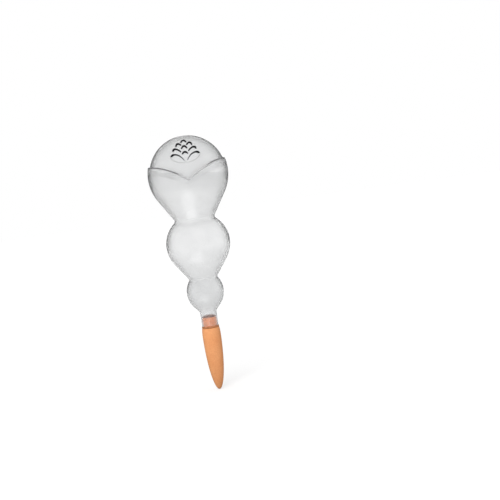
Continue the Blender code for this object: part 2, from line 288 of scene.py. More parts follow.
class Effects:
    """The shader node groups that several finishes share."""

    def __init__(self) -> None:
        """Builds each group once."""
        self.clouds = self._clouds()
        self.grain = self._grain()
        self.scratches = self._scratches()

    @staticmethod
    def _group(name: str, inputs: dict[str, float], outputs: Sequence[str]) -> tuple[Sketch, bpy.types.Node]:
        """Makes an empty group with a Position input.

        Args:
            name: The group's name.
            inputs: Its number inputs with their usual values.
            outputs: The names of its number outputs.

        Returns:
            The group's sketch and its input node.
        """
        tree = bpy.data.node_groups.new(name, "ShaderNodeTree")
        tree.interface.new_socket("Position", in_out="INPUT", socket_type="NodeSocketVector")
        for label, usual in inputs.items():
            tree.interface.new_socket(label, in_out="INPUT", socket_type="NodeSocketFloat").default_value = usual
        for label in outputs:
            tree.interface.new_socket(label, in_out="OUTPUT", socket_type="NodeSocketFloat")
        return Sketch(tree), tree.nodes.new("NodeGroupInput")

    @staticmethod
    def _close(sketch: Sketch, results: Sequence[bpy.types.NodeSocket]) -> bpy.types.NodeTree:
        """Links a group's results to its outputs.

        Args:
            sketch: The group's sketch.
            results: One socket for each output, in order.

        Returns:
            The finished group.
        """
        end = sketch.tree.nodes.new("NodeGroupOutput")
        end.location = (COLUMN_WIDTH * (sketch.column + 1), 0)
        for index, result in enumerate(results):
            sketch.tree.links.new(result, end.inputs[index])
        return sketch.tree

    def _clouds(self) -> bpy.types.NodeTree:
        """Builds soft, uneven patches, for haze, blotches and wear.

        Returns:
            The group, whose Mask goes from 0 to 1.
        """
        sketch, start = self._group("soft_clouds", {"Scale": 40.0, "Detail": 4.0, "Contrast": 0.2}, ["Mask"])
        noise = sketch.add("TexNoise", Vector=start.outputs[0], Scale=start.outputs[1], Detail=start.outputs[2])
        low = sketch.maths("SUBTRACT", 0.5, start.outputs[3])
        high = sketch.maths("ADD", 0.5, start.outputs[3])
        mask = sketch.add("MapRange", i0=noise.outputs[0], i1=low, i2=high, i3=0.0, i4=1.0)
        return self._close(sketch, [mask.outputs[0]])

    def _grain(self) -> bpy.types.NodeTree:
        """Builds a fine grain with scattered pits, for fired clay and moulded rubber.

        Returns:
            The group, with a Height for bumps and a mask of the Pits.
        """
        sketch, start = self._group("pitted_grain", {"Grain": 1600.0, "Pit": 420.0, "Pits": 0.5}, ["Height", "Pits"])
        fine = sketch.add("TexNoise", Vector=start.outputs[0], Scale=start.outputs[1], Detail=3.0)
        cells = sketch.add("TexVoronoi", Vector=start.outputs[0], Scale=start.outputs[2])
        rare = sketch.add("TexWhiteNoise", p_noise_dimensions="3D", Vector=cells.outputs["Position"])
        hollow = sketch.ramp(cells.outputs["Distance"], 0.05, 0.38, 1.0, 0.0)
        kept = sketch.maths("LESS_THAN", rare.outputs[0], start.outputs[3])
        pits = sketch.maths("MULTIPLY", hollow, kept)
        height = sketch.maths("SUBTRACT", fine.outputs[0], pits)
        return self._close(sketch, [height, pits])

    def _scratches(self) -> bpy.types.NodeTree:
        """Builds fine hairlines in two directions, for handled plastic.

        Returns:
            The group, whose Mask is 1 on a hairline.
        """
        sketch, start = self._group("hairlines", {"Scale": 900.0, "Amount": 0.5}, ["Mask"])
        lines: list[bpy.types.NodeSocket] = []
        for turn, stretch in (((0.3, 0.1, 0.5), (1.0, 1.0, 0.035)), ((0.9, 0.7, 0.2), (1.0, 0.045, 1.0))):
            place = sketch.add("Mapping", Vector=start.outputs[0], Rotation=turn, Scale=stretch)
            noise = sketch.add("TexNoise", Vector=place.outputs[0], Scale=start.outputs[1], Detail=1.0)
            lines.append(sketch.ramp(noise.outputs[0], 0.66, 0.74, 0.0, 1.0))
        patches = sketch.add("TexNoise", Vector=start.outputs[0], Scale=55.0, Detail=2.0)
        where = sketch.ramp(patches.outputs[0], 0.48, 0.62, 0.0, 1.0)
        both = sketch.maths("MAXIMUM", *lines)
        mask = sketch.maths("MULTIPLY", sketch.maths("MULTIPLY", both, where), start.outputs[2])
        return self._close(sketch, [mask])


class Paint(Sketch):
    """The nodes of one material with a Principled shader, laid out by its piece's own coordinates."""

    def __init__(self, name: str) -> None:
        """Makes the material.

        Args:
            name: The material's name.
        """
        self.material = bpy.data.materials.new(name)
        self.material.use_nodes = True
        super().__init__(self.material.node_tree)
        self.shader = self.tree.nodes["Principled BSDF"]
        self.place = self.add("TexCoord").outputs["Object"]

    def lay(self, group: bpy.types.NodeTree, **levels: float) -> bpy.types.bpy_prop_collection:
        """Lays one of the shared effects over the piece and gives its outputs."""
        return self.add("Group", p_node_tree=group, Position=self.place, **levels).outputs

    def dress(
        self,
        colour: bpy.types.NodeSocket,
        rough: bpy.types.NodeSocket,
        height: bpy.types.NodeSocket,
        strength: float,
        depth: float,
    ) -> None:
        """Feeds the shader.

        Args:
            colour: The base colour.
            rough: The roughness.
            height: The height of the fine relief.
            strength: How strongly the relief shows.
            depth: How deep the relief is, in metres.
        """
        self.feed(self.shader.inputs["Base Color"], colour)
        self.feed(self.shader.inputs["Roughness"], rough)
        relief = self.add("Bump", Strength=strength, Distance=depth, Height=height)
        self.feed(self.shader.inputs["Normal"], relief.outputs[0])


def emptied(owner: bpy.types.Material | bpy.types.World) -> Sketch:
    """Empties the nodes of a material or of the world.

    Args:
        owner: The material or the world.

    Returns:
        A sketch on its empty tree.
    """
    owner.use_nodes = True
    owner.node_tree.nodes.clear()
    return Sketch(owner.node_tree)


# Finishes

# A darker tint by height: painted shade that stands in for the water inside the shell, up to the water's line. Each
# height, and how much of the tint shows there
SHELL_SHADE_VEIL: Heights = (
    (0.000, 0.30), (0.014, 0.35), (0.024, 0.72), (0.044, 0.66), (0.056, 0.44), (0.070, 0.20), (0.084, 0.06),
    (0.106, 0.00), (0.114, 0.15), (0.134, 0.22), (0.146, 0.50), (0.154, 0.70), (0.1562, 0.70), (0.1578, 0.00),
    (0.170, 0.00),
)
# How strongly painted shade darkens the shell's outline: each height, and the share there. The lower lobes are
# milkier
SHELL_OUTLINE_SHADE: Heights = ((0.000, 1.00), (0.040, 0.80), (0.056, 0.45), (0.100, 0.45), (0.118, 0.80), (0.140, 1.00))
# The dome takes an even share of the darker tint, and painted shade darkens its outline fully
DOME_SHADE_VEIL: Heights = ((0.140, 0.35), (0.200, 0.35))
DOME_OUTLINE_SHADE: Heights = ((0.140, 1.00), (0.200, 1.00))
# The height at the upper end of these scales
HEIGHT_SPAN = 0.200
# The globe is used at a slant, and so is the water's line that the painted shade follows: its fall for each metre to
# the right
WATER_SLOPE = 0.122


@dataclass(frozen=True)
class Finish:
    """A finish with its material's name. Each kind of finish fills in its own nodes."""

    name: str

    def material(self, effects: Effects) -> bpy.types.Material:
        """Builds the material.

        Args:
            effects: The shared node groups.

        Returns:
            The finished material.
        """
        paint = Paint(self.name)
        self.fill(paint, effects)
        return paint.material

    def fill(self, paint: Paint, effects: Effects) -> None:
        """Fills in the material's nodes from the shared node groups."""
        raise NotImplementedError


@dataclass(frozen=True)
class ClearPlastic(Finish):
    """Clear moulded plastic with a faint milky haze and the hairlines of handling, and painted shade below the
    water's line and along its outline.
    """

    tint: Colour = (0.922, 0.925, 0.925)
    haze_tint: Colour = (0.890, 0.893, 0.896)
    # Painted shade along the outline: its dark tint, how it follows the facing, and where it starts
    outline_shade_tint: Colour = (0.20, 0.202, 0.205)
    shadow_tint: Colour = (0.93, 0.93, 0.93)
    clearness: float = 0.95
    refraction: float = 1.49
    polish: float = 0.20
    haze_polish: float = 0.28
    haze_dulling: float = 0.50
    outline_shade_facing: float = 0.50
    outline_shade_start: float = 0.40
    # Painted shade by height, which stands in for the water inside
    shade_veil_tint: Colour = (0.760, 0.765, 0.768)
    shade_veil: Heights = SHELL_SHADE_VEIL
    outline_shade: Heights = SHELL_OUTLINE_SHADE
    ripple: float = 0.10
    ripple_depth: float = 0.002
    hairline_depth: float = 0.02

    @staticmethod
    def by_height(paint: Paint, height: bpy.types.NodeSocket, levels: Heights) -> bpy.types.NodeSocket:
        """Looks up a share that changes smoothly with the height.

        Args:
            paint: The material's nodes.
            height: The height on the piece.
            levels: Heights in metres, each with its share.

        Returns:
            The share.
        """
        node = paint.add("ValToRGB", Fac=paint.maths("DIVIDE", height, HEIGHT_SPAN))
        node.color_ramp.interpolation = "EASE"
        stops = node.color_ramp.elements
        for index, (level, share) in enumerate(levels):
            stop = stops[index] if index < 2 else stops.new(1.0)
            stop.position = level / HEIGHT_SPAN
            stop.color = (share, share, share, 1.0)
        return node.outputs["Color"]

    def fill(self, paint: Paint, effects: Effects) -> None:
        """Lays out haze, hairlines, painted shade below the water's line and along the dark outline, and lets the
        lamps through to what is inside.

        Args:
            paint: The material's nodes.
            effects: The shared node groups.
        """
        haze = paint.lay(effects.clouds, Scale=45.0, Contrast=0.16)["Mask"]
        lines = paint.lay(effects.scratches, Scale=700.0, Amount=0.6)["Mask"]
        split = paint.add("SeparateXYZ", Vector=paint.place).outputs
        level = paint.maths("MULTIPLY_ADD", split["X"], WATER_SLOPE, split["Z"])
        body = paint.blend(haze, self.tint, self.haze_tint)
        # Painted shade of the water inside, up to its slanted line
        body = paint.blend(self.by_height(paint, level, self.shade_veil), body, self.shade_veil_tint)
        # Painted shade: the outline darkens where the surface turns away, by the Layer Weight's facing
        facing = paint.add("LayerWeight", Blend=self.outline_shade_facing).outputs["Facing"]
        outline_shade = paint.ramp(facing, self.outline_shade_start, 1.0, 0.0, 1.0)
        outline_shade = paint.maths("MULTIPLY", outline_shade, self.by_height(paint, split["Z"], self.outline_shade))
        dull = paint.maths("MAXIMUM", paint.maths("MULTIPLY", haze, self.haze_dulling), lines)
        rough = paint.ramp(dull, 0.0, 1.0, self.polish, self.haze_polish)
        waves = paint.add("TexNoise", Vector=paint.place, Scale=28.0, Detail=1.0).outputs[0]
        swell = paint.maths("SUBTRACT", waves, paint.maths("MULTIPLY", lines, self.hairline_depth))
        paint.dress(paint.blend(outline_shade, body, self.outline_shade_tint), rough, swell, self.ripple, self.ripple_depth)
        shader = paint.shader
        shader.inputs["Transmission Weight"].default_value = self.clearness
        shader.inputs["IOR"].default_value = self.refraction
        shader.inputs["Metallic"].default_value = 0.0
        shadows = paint.add("LightPath").outputs["Is Shadow Ray"]
        through = paint.add("BsdfTransparent", Color=self.shadow_tint).outputs[0]
        mix = paint.add("MixShader", i0=shadows, i1=shader.outputs[0], i2=through)
        paint.feed(paint.tree.nodes["Material Output"].inputs["Surface"], mix.outputs[0])


@dataclass(frozen=True)
class WornSurface(Finish):
    """A satin or matt surface with soft worn patches. Some have hairlines, and some a moulded grain."""

    colour: Colour
    worn: Colour
    roughness: float
    worn_roughness: float
    patches: float
    relief: float
    relief_depth: float
    hairlines: float = 0.0
    grain: tuple[float, float, float] | None = None
    gloss: float = 0.5

    def fill(self, paint: Paint, effects: Effects) -> None:
        """Lays out the patches, and the hairlines or the grain where the surface has them.

        Args:
            paint: The material's nodes.
            effects: The shared node groups.
        """
        worn = height = paint.lay(effects.clouds, Scale=self.patches, Contrast=0.2)["Mask"]
        if self.hairlines:
            lines = paint.lay(effects.scratches, Scale=self.hairlines, Amount=1.0)["Mask"]
            worn = height = paint.maths("MAXIMUM", worn, lines)
        if self.grain:
            grain, pit, pits = self.grain
            height = paint.lay(effects.grain, Grain=grain, Pit=pit, Pits=pits)["Height"]
        rough = paint.ramp(worn, 0.0, 1.0, self.roughness, self.worn_roughness)
        paint.dress(paint.blend(worn, self.colour, self.worn), rough, height, self.relief, self.relief_depth)
        paint.shader.inputs["Specular IOR Level"].default_value = self.gloss


SHELL_PLASTIC = ClearPlastic("clear_shell_plastic")
DOME_PLASTIC = ClearPlastic("clear_dome_plastic", polish=0.16, shade_veil=DOME_SHADE_VEIL, outline_shade=DOME_OUTLINE_SHADE)
# Painted shade on the louvres' walls and floors: near black, where the clear plastic is seen along its edge
LOUVRE_SHADE = WornSurface(
    name="louvre_shade",
    colour=(0.005, 0.005, 0.006),
    worn=(0.014, 0.014, 0.015),
    roughness=0.50,
    worn_roughness=0.65,
    patches=600.0,
    relief=0.15,
    relief_depth=0.0002,
    gloss=0.12,
)
# The ground faces where the lid's edge meets the reservoir's ledge: pale, matt and finely scored
GROUND_SEAT = WornSurface(
    name="ground_seat",
    colour=(0.88, 0.88, 0.885),
    worn=(0.78, 0.78, 0.785),
    roughness=0.60,
    worn_roughness=0.75,
    patches=500.0,
    relief=0.20,
    relief_depth=0.0001,
    hairlines=1600.0,
)
# The fine raised lines that close the lowest petals, dark grey: painted shade that stands in for the dark edge of a
# moulded step
PETAL_SHADE_LINE = replace(GROUND_SEAT, name="petal_shade_line", colour=(0.30, 0.30, 0.305), worn=(0.24, 0.24, 0.245))
# Red-brown rubber with a fine moulded grain and paler, rubbed patches. Its dark red-brown is also painted shade, for
# the shaded crevice between the collar and the spike's shoulder
SEAL_RUBBER_AND_SHADE = WornSurface(
    name="rubber_and_crevice_shade",
    colour=(0.42, 0.160, 0.060),
    worn=(0.50, 0.210, 0.090),
    roughness=0.55,
    worn_roughness=0.67,
    patches=260.0,
    relief=0.30,
    relief_depth=0.00006,
    grain=(2600.0, 900.0, 0.1),
)


@dataclass(frozen=True)
class RimEdgeShade(Finish):
    """The lip's rounded edge, dark grey with painted shade where the plastic is seen along its wall, and painted
    paler along one stretch of the front, where the light leaves the line faint.
    """

    # Painted shade: the edge's dark colour, and a paler painted stretch where the light leaves the line faint
    colour: Colour = (0.050, 0.050, 0.053)
    lit_tint: Colour = (0.55, 0.55, 0.555)
    roughness: float = 0.30
    lit_roughness: float = 0.50
    lit_start: float = -0.0090
    lit_end: float = 0.0190
    lit_fade: float = 0.0045
    unevenness: float = 0.25

    def fill(self, paint: Paint, effects: Effects) -> None:
        """Paints the edge paler along one stretch of the front, as painted light, and unevenly elsewhere.

        Args:
            paint: The material's nodes.
            effects: The shared node groups.
        """
        clouds = paint.lay(effects.clouds, Scale=90.0, Contrast=0.25)["Mask"]
        across = paint.add("SeparateXYZ", Vector=paint.place).outputs["X"]
        # Painted light: the paler stretch on the front, where the line shows faint
        begins = paint.ramp(across, self.lit_start - self.lit_fade, self.lit_start + self.lit_fade, 0.0, 1.0)
        ends = paint.ramp(across, self.lit_end - self.lit_fade, self.lit_end + self.lit_fade, 1.0, 0.0)
        lit_stretch = paint.maths("MULTIPLY", begins, ends)
        uneven_and_lit = paint.maths("MULTIPLY_ADD", clouds, self.unevenness, lit_stretch, clamp=True)
        rough = paint.ramp(uneven_and_lit, 0.0, 1.0, self.roughness, self.lit_roughness)
        colour = paint.blend(uneven_and_lit, self.colour, self.lit_tint)
        paint.dress(colour, rough, clouds, strength=0.1, depth=0.0002)


@dataclass(frozen=True)
class Terracotta(Finish):
    """Unglazed fired clay: fine grain, small pits, warm blotches and faint rings from its turning."""

    colour: Colour = (0.76, 0.322, 0.132)
    pale: Colour = (0.83, 0.392, 0.176)
    dark: Colour = (0.63, 0.240, 0.095)
    bloom: Colour = (0.72, 0.210, 0.058)
    bloom_from: float = -0.0008
    bloom_full: float = 0.0012
    bloom_share: float = 0.80
    fleck_share: float = 0.35
    pit_share: float = 0.60
    roughness: float = 0.84
    pale_roughness: float = 0.92
    ring_height: float = 0.80
    gloss: float = 0.25

    def fill(self, paint: Paint, effects: Effects) -> None:
        """Lays out the clay, which is redder on the neck, where the water reaches it.

        Args:
            paint: The material's nodes.
            effects: The shared node groups.
        """
        broad = paint.lay(effects.clouds, Scale=70.0, Contrast=0.22)["Mask"]
        specks = paint.lay(effects.clouds, Scale=900.0, Contrast=0.10)["Mask"]
        grain = paint.lay(effects.grain, Grain=1500.0, Pit=520.0, Pits=0.22)
        height = paint.add("SeparateXYZ", Vector=paint.place).outputs["Z"]
        body = paint.blend(broad, self.colour, self.pale)
        body = paint.blend(paint.maths("MULTIPLY", specks, self.fleck_share), body, self.dark)
        body = paint.blend(paint.maths("MULTIPLY", grain["Pits"], self.pit_share), body, self.dark)
        neck = paint.ramp(height, self.bloom_from, self.bloom_full, 0.0, self.bloom_share)
        rough = paint.ramp(broad, 0.0, 1.0, self.roughness, self.pale_roughness)
        flattened = paint.add("Mapping", Vector=paint.place, Scale=(0.02, 0.02, 1.0)).outputs[0]
        rings = paint.add("TexNoise", Vector=flattened, Scale=900.0, Detail=2.0).outputs[0]
        surface = paint.maths("MULTIPLY_ADD", rings, self.ring_height, grain["Height"])
        paint.dress(paint.blend(neck, body, self.bloom), rough, surface, strength=0.45, depth=0.00012)
        paint.shader.inputs["Specular IOR Level"].default_value = self.gloss


RIM_EDGE_SHADE = RimEdgeShade("rim_edge_shade")
FIRED_CLAY = Terracotta("fired_clay")
DAMP_CLAY = Terracotta(
    name="damp_clay",
    colour=(0.190, 0.052, 0.018),
    pale=(0.250, 0.076, 0.030),
    dark=(0.120, 0.033, 0.012),
    bloom=(0.210, 0.060, 0.024),
)


# Forms


@dataclass(frozen=True)
class Lobe:
    """One lobe of the reservoir: an oval that runs on below as a cone, towards the next waist."""

    centre: float
    radius: float
    rise: float
    drop: float
    cone: float

    def radius_at(self, z: float) -> float:
        """Works out the lobe's radius.

        Args:
            z: The height in metres.

        Returns:
            The radius there, or 0 beyond the lobe.
        """
        slope = math.tan(math.radians(self.cone))
        turn = math.atan(self.drop / self.radius * slope)
        up = z - self.centre
        if up >= 0:
            return self.radius * math.sqrt(max(1 - (up / self.rise) ** 2, 0.0))
        start = -self.drop * math.sin(turn)
        if up > start:
            return self.radius * math.sqrt(1 - (up / self.drop) ** 2)
        return max(self.radius * math.cos(turn) - (start - up) * slope, 0.0)


@dataclass(frozen=True)
class Seam:
    """The scalloped line where the lid sits in the reservoir, on the ball of the top lobe."""

    centre: float = 0.1555
    radius: float = 0.0400
    peak: float = math.radians(16.8)
    dip: float = math.radians(23.1)
    cusp_power: float = 1.8
    lip_wall: float = 0.0009
    ledge_depth: float = 0.0024
    rib_height: float = 0.0012
    rib_slope: float = 0.0052
    shift_depth: float = 0.0051
    seat_gap: float = 0.0003

    @property
    def lip_inner(self) -> float:
        """The radius inside the reservoir's thin outer lip."""
        return self.radius - self.lip_wall

    @property
    def ledge(self) -> float:
        """The latitude of the ledge that carries the lid."""
        return self.peak - self.ledge_depth / self.radius

    @property
    def rib_bottom(self) -> float:
        """The latitude where the rib under the ledge starts to run out."""
        return self.ledge - self.rib_height / self.radius

    @property
    def rib_end(self) -> float:
        """The latitude where the rib has run out into the wall."""
        return self.rib_bottom - self.rib_slope / self.radius

    @property
    def shifted_whole(self) -> float:
        """The latitude from which everything follows the whole of the scallops."""
        return self.peak - self.shift_depth / self.radius

    @property
    def lid_edge(self) -> float:
        """The latitude of the lid's lower edge."""
        return self.ledge + self.seat_gap / self.radius

    def drop_at(self, azimuth: float) -> float:
        """Works out how far in latitude the seam hangs below its peaks, round from the front's cusp."""
        return self.dip * (1 - abs(math.sin(azimuth))) ** self.cusp_power

    def on_ball(self, radius: float, latitude: float) -> ProfilePoint:
        """Places a profile point by its distance from the ball's centre and its latitude."""
        return (radius * math.cos(latitude), self.centre + radius * math.sin(latitude))

    def slide(self, piece: bpy.types.Object, still: float, full: float) -> None:
        """Slides a piece's points along the ball, so that its edge follows the scallops.

        Args:
            piece: The turned piece.
            still: The latitude whose points stay where they are.
            full: The latitude from which points take the whole drop.
        """
        for vertex in piece.data.vertices:
            x, y, z = vertex.co
            around = math.hypot(x, y)
            latitude = math.atan2(z - self.centre, around)
            share = min(max((latitude - still) / (full - still), 0.0), 1.0)
            if share == 0.0:
                continue
            reach = math.hypot(around, z - self.centre)
            lowered = latitude - share * self.drop_at(math.atan2(x, -y))
            flat = reach * math.cos(lowered) / around
            vertex.co = (x * flat, y * flat, self.centre + reach * math.sin(lowered))


@dataclass
class Reservoir:
    """The clear shell of three lobes, with its collar below and its scalloped, ledged rim above."""

    seam: Seam
    wall: float = 0.0016
    top: Lobe = Lobe(0.1555, 0.0400, 0.0400, 0.0415, 31.8)
    middle: Lobe = Lobe(0.0855, 0.0319, 0.0305, 0.0319, 35.7)
    lower: Lobe = Lobe(0.0365, 0.0186, 0.0205, 0.0202, 41.0)
    upper_waist_blend: float = 0.0040
    lower_waist_blend: float = 0.0025
    collar_blend: float = 0.0015
    socket_radius: float = 0.0072
    collar_radius: float = 0.0082
    collar_end: float = 0.0019
    rib_inner: float = 0.0369
    still_below: float = math.radians(-32.0)
    sample_step: float = 0.00025
    tolerance: float = 0.000006
    segments: int = 160
    edge_rounding: float = 0.00040
    rim_band: float = 0.00100
    lip_rounding: float = 0.00065
    lip_inner_rounding: float = 0.00015
    lip_steps: int = 6
    ledge_margin: float = 0.0001

    @staticmethod
    def smooth_max(first: float, second: float, blend: float) -> float:
        """Takes the larger of two radii, and rounds the corner while they are less than blend apart."""
        near = max(blend - abs(first - second), 0.0) / blend
        return max(first, second) + near * near * blend / 4

    def radius_at(self, z: float) -> float:
        """Works out the outer radius.

        Args:
            z: The height in metres.

        Returns:
            The radius of the lobes and the collar there, blended at the waists.
        """
        radius = self.smooth_max(self.top.radius_at(z), self.middle.radius_at(z), self.upper_waist_blend)
        radius = self.smooth_max(radius, self.lower.radius_at(z), self.lower_waist_blend)
        return self.smooth_max(radius, self.collar_radius, self.collar_blend)

    def inside_line(self, outside: Sequence[ProfilePoint]) -> list[ProfilePoint]:
        """Moves the outside inwards by the wall, and widens the collar to its socket.

        Args:
            outside: The outer line, from the rim down.

        Returns:
            The inner line, from the collar's end up to under the rib.
        """
        moved: list[ProfilePoint] = []
        for index, (x, z) in enumerate(outside):
            before, after = outside[max(index - 1, 0)], outside[min(index + 1, len(outside) - 1)]
            along = (after[0] - before[0], after[1] - before[1])
            length = math.hypot(*along)
            moved.append((x + self.wall * along[1] / length, z - self.wall * along[0] / length))
        top = self.seam.on_ball(self.seam.radius - self.wall, self.seam.rib_end)[1] - self.sample_step
        kept = [(max(x, self.socket_radius), z) for x, z in moved if self.collar_end < z < top]
        kept.append((self.socket_radius, self.collar_end))
        return kept[::-1]

    def lip(self) -> list[ProfilePoint]:
        """Rounds the lip off: a small corner inside, and a tall one outside down the rim's band.

        Returns:
            The points from the lip's inner wall over its edge to the outside.
        """
        seam = self.seam
        points: list[ProfilePoint] = []
        for radius, reach, fall, towards in (
            (seam.lip_inner + self.lip_inner_rounding, self.lip_inner_rounding, self.lip_inner_rounding, -1),
            (seam.radius - self.lip_rounding, self.lip_rounding, self.rim_band, 1),
        ):
            for step in range(self.lip_steps + 1):
                share = step if towards > 0 else self.lip_steps - step
                angle = math.pi / 2 * (1 - share / self.lip_steps)
                latitude = seam.peak - fall * (1 - math.sin(angle)) / seam.radius
                points.append(seam.on_ball(radius + towards * reach * math.cos(angle), latitude))
        return points[:-1]

    def profile(self) -> list[ProfilePoint]:
        """Lays out the section as a closed loop.

        Returns:
            The points from the rim's band down the outside, up the inside and round the rim to the start.
        """
        seam = self.seam
        start = seam.on_ball(seam.radius, seam.peak - self.rim_band / seam.radius)
        count = round((start[1] - self.collar_end) / self.sample_step)
        heights = [start[1] + (self.collar_end - start[1]) * step / count for step in range(count + 1)]
        outside = [(self.radius_at(z), z) for z in heights]
        rim_section = [
            seam.on_ball(seam.radius - self.wall, seam.rib_end),
            seam.on_ball(self.rib_inner, seam.rib_bottom),
            seam.on_ball(self.rib_inner, seam.ledge),
            seam.on_ball(seam.lip_inner, seam.ledge),
            *self.lip(),
        ]
        inside = thinned(self.inside_line(outside), self.tolerance)
        outside = thinned(outside, self.tolerance)
        return [*outside, *inside, *rim_section, outside[0]]

    def finish_at(self, centre: Vector) -> int:
        """Finds the finish of a face of the shell, before its rim is scalloped.

        Args:
            centre: The face's centre.

        Returns:
            1 on the lip's edge, 2 on the ledge and 0 elsewhere.
        """
        seam, around = self.seam, math.hypot(centre.x, centre.y)
        latitude, reach = math.atan2(centre.z - seam.centre, around), math.hypot(around, centre.z - seam.centre)
        if latitude > seam.peak - self.rim_band / seam.radius:
            return 1
        near_ledge = abs(latitude - seam.ledge) * seam.radius < self.edge_rounding
        return 2 if near_ledge and reach < seam.lip_inner + self.ledge_margin else 0

    def build(self, finishes: Sequence[bpy.types.Material]) -> bpy.types.Object:
        """Models the shell.

        Args:
            finishes: The finishes of the shell, of the lip's edge with its painted shade and of the ledge.

        Returns:
            The finished object.
        """
        shell = turned_piece("globe_reservoir", self.profile(), self.segments)
        for finish in finishes:
            shell.data.materials.append(finish)
        round_edges(shell, self.edge_rounding, segments=3, angle=40.0)
        for face in shell.data.polygons:
            face.material_index = self.finish_at(face.center)
        self.seam.slide(shell, self.still_below, self.seam.shifted_whole)
        smooth(shell, 35.0)
        return shell


class Side(Enum):
    """The side of the fan that a petal leans to."""

    LEFT = -1
    MIDDLE = 0
    RIGHT = 1


@dataclass(frozen=True)
class Petal:
    """One petal of the fan: its lean, where its tip lies from the fan's root, its size and its slot."""

    side: Side
    lean: float
    tip: float
    half_width: float
    crown: float
    length: float
    outer_slot: float
    inner_slot: float
    inner_taper: float
    lined: bool = False
    leg_width: float = 0.00145
    tip_width: float = 0.00020
    tip_growth: float = 0.018
    outer_taper: float = 0.10
    line_width: float = 0.00040
    line_end: float = 0.96
    small_step: float = 0.01

    @property
    def bearing(self) -> float:
        """The petal's direction from the fan's root, in radians from straight up."""
        return math.radians(self.lean) * self.side.value

    @property
    def inward(self) -> int:
        """The sign of the fan's middle across the petal."""
        return -1 if self.side is Side.RIGHT else 1

    def half_width_at(self, back: float) -> float:
        """Works out half the petal's width.

        Args:
            back: The distance back from the tip.

        Returns:
            A round crown's half width near the tip, and a long taper's behind it.
        """
        if back < self.crown:
            return self.half_width * math.sqrt(max(1 - (1 - back / self.crown) ** 2, 0.0))
        taper = (back - self.crown) / (self.length - self.crown)
        return self.half_width * math.cos(math.pi / 2 * min(taper, 1.0))

    def place(self, back: float, across: float) -> FlatPlace:
        """Places a point of the petal on the flat fan.

        Args:
            back: The distance back from the tip.
            across: The distance from the petal's middle, positive towards the fan's middle.

        Returns:
            The place across and up the fan.
        """
        along, turned = self.tip - back, self.inward * across
        sine, cosine = math.sin(self.bearing), math.cos(self.bearing)
        return (along * sine + turned * cosine, along * cosine - turned * sine)

    def outline(self, share: float) -> FlatPlace:
        """Follows the outline along the slot, from -1 at its outer end over 0 at the tip to 1 at its inner end."""
        back = (self.inner_slot if share > 0 else self.outer_slot) * share**2
        return self.place(back, math.copysign(self.half_width_at(back), share))

    def line(self, side: int, along: float, across: float) -> FlatPlace:
        """Places a point of the fine line that carries the outline on behind the slot.

        Args:
            side: -1 for the petal's outer side and 1 for its inner side.
            along: -1 at the slot's end and 1 near the petal's root.
            across: -1 on one edge of the line and 1 on the other.

        Returns:
            The place on the flat fan.
        """
        share = (along + 1) / 2
        start = self.inner_slot if side > 0 else self.outer_slot
        run = self.line_end * self.length - start
        steps = [start + run * (share + step) for step in (-self.small_step, self.small_step)]
        (x, y), (u, v) = [self.place(back, side * self.half_width_at(back)) for back in steps]
        reach = across * self.line_width / 2 * (1 - share / 2) / math.hypot(u - x, v - y)
        return ((x + u) / 2 - reach * (v - y), (y + v) / 2 + reach * (u - x))

    def crescent(self, share: float, depth: float) -> FlatPlace:
        """Places a point of the crescent, which is a little thicker at the petal's tip than at its legs.

        Args:
            share: -1 at the slot's outer end, 0 at the tip and 1 at its inner end.
            depth: 0 on the petal's outline and 1 on the crescent's inner side.

        Returns:
            The place on the flat fan.
        """
        place = self.outline(share)
        shares = max(share - self.small_step, -1.0), min(share + self.small_step, 1.0)
        before, after = (self.outline(near) for near in shares)
        along = Vector((after[0] - before[0], after[1] - before[1])).normalized() * self.inward
        taper = self.inner_taper if share > 0 else self.outer_taper
        square = depth * self.leg_width * (1 - taper * share**2)
        back = depth * (self.tip_width + self.tip_growth * self.tip) * (1 - share**2)
        across = square * along.y - back * math.sin(self.bearing)
        upwards = -square * along.x - back * math.cos(self.bearing)
        return (place[0] + across, place[1] + upwards)

    def within(self, place: FlatPlace) -> tuple[float, float]:
        """Finds where a flat place lies on the petal.

        Args:
            place: A place across and up the fan.

        Returns:
            Its distance back from the tip, and its distance in from the petal's side edges.
        """
        sine, cosine = math.sin(self.bearing), math.cos(self.bearing)
        back = self.tip - (place[0] * sine + place[1] * cosine)
        across = abs(place[0] * cosine - place[1] * sine)
        return back, (self.half_width_at(back) if back > 0 else 0.0) - across


def fan_petals() -> list[Petal]:
    """Lists the fan's petals.

    Returns:
        A middle column of three, and three pairs that lean outwards.
    """
    # Lean, tip, half width, crown, length, outer slot, inner slot and inner taper
    middle = (
        (0.0, 0.0305, 0.0037, 0.0085, 0.0140, 0.0052, 0.0052, 0.05),
        (0.0, 0.0208, 0.0034, 0.0058, 0.0120, 0.0043, 0.0043, 0.05),
        (0.0, 0.0130, 0.0034, 0.0048, 0.0100, 0.0030, 0.0030, 0.30),
    )
    pairs = (
        (15.0, 0.0266, 0.0038, 0.0095, 0.0150, 0.0046, 0.0052, 0.05),
        (31.5, 0.0217, 0.0040, 0.0090, 0.0155, 0.0022, 0.0087, 0.10),
        (52.5, 0.0181, 0.0038, 0.0065, 0.0182, 0.0005, 0.0150, 0.65, True),
    )
    petals = [Petal(Side.MIDDLE, *sizes) for sizes in middle]
    return petals + [Petal(side, *sizes) for sizes in pairs for side in (Side.LEFT, Side.RIGHT)]


@dataclass(frozen=True)
class Slot:
    """A cut along a petal's tip: the crescent's shares where it begins and ends, its reach and its floor."""

    start: float
    end: float
    extent: float
    floor: float

    def place(self, petal: Petal, along: float, across: float) -> FlatPlace:
        """Follows a petal's crescent from end to end, on its outer side or its inner one."""
        return petal.crescent(along * self.extent, self.end if across > 0 else self.start)


